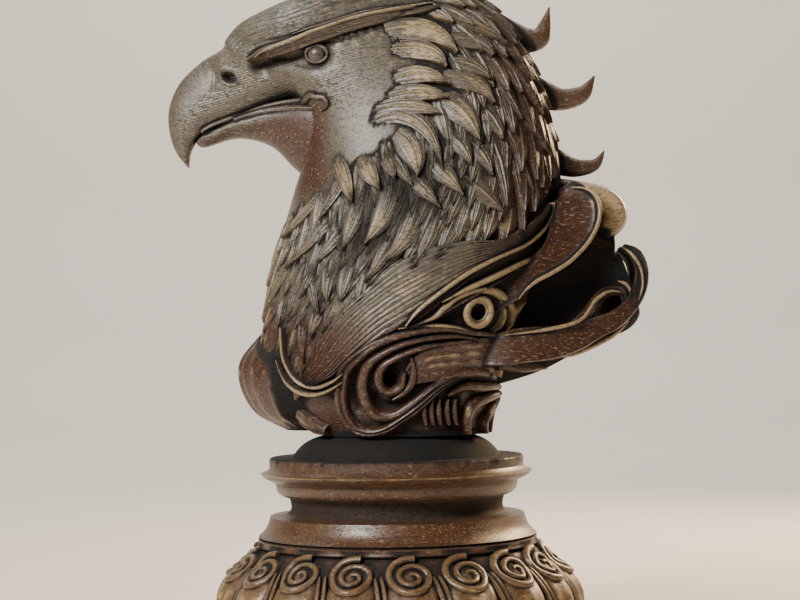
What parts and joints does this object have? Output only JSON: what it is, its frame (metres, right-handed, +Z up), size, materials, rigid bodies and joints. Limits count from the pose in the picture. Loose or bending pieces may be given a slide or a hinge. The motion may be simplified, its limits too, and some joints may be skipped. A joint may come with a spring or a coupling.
{
  "type": "eagle bust statue",
  "caption": "Carved wooden eagle head and neck with layered feathers and scrollwork, on a round turned plinth carved with a ring of scrolled leaves.",
  "frame": {"origin": "centre of the plinth's flat underside", "axes": "+Z up, the beak points to -X, the eagle's left side faces -Y"},
  "size_m": [0.2367, 0.1822, 0.3394],
  "materials": {
    "carved_wood": "carved hardwood, dark red-brown stain, waxed, worn golden edges",
    "turned_wood": "turned and carved hardwood, dark stain, near-black in the hollows, waxed"
  },
  "bodies": {
    "root": {"eagle_bust": "carved_wood", "plinth": "turned_wood"}
  },
  "joints": []
}
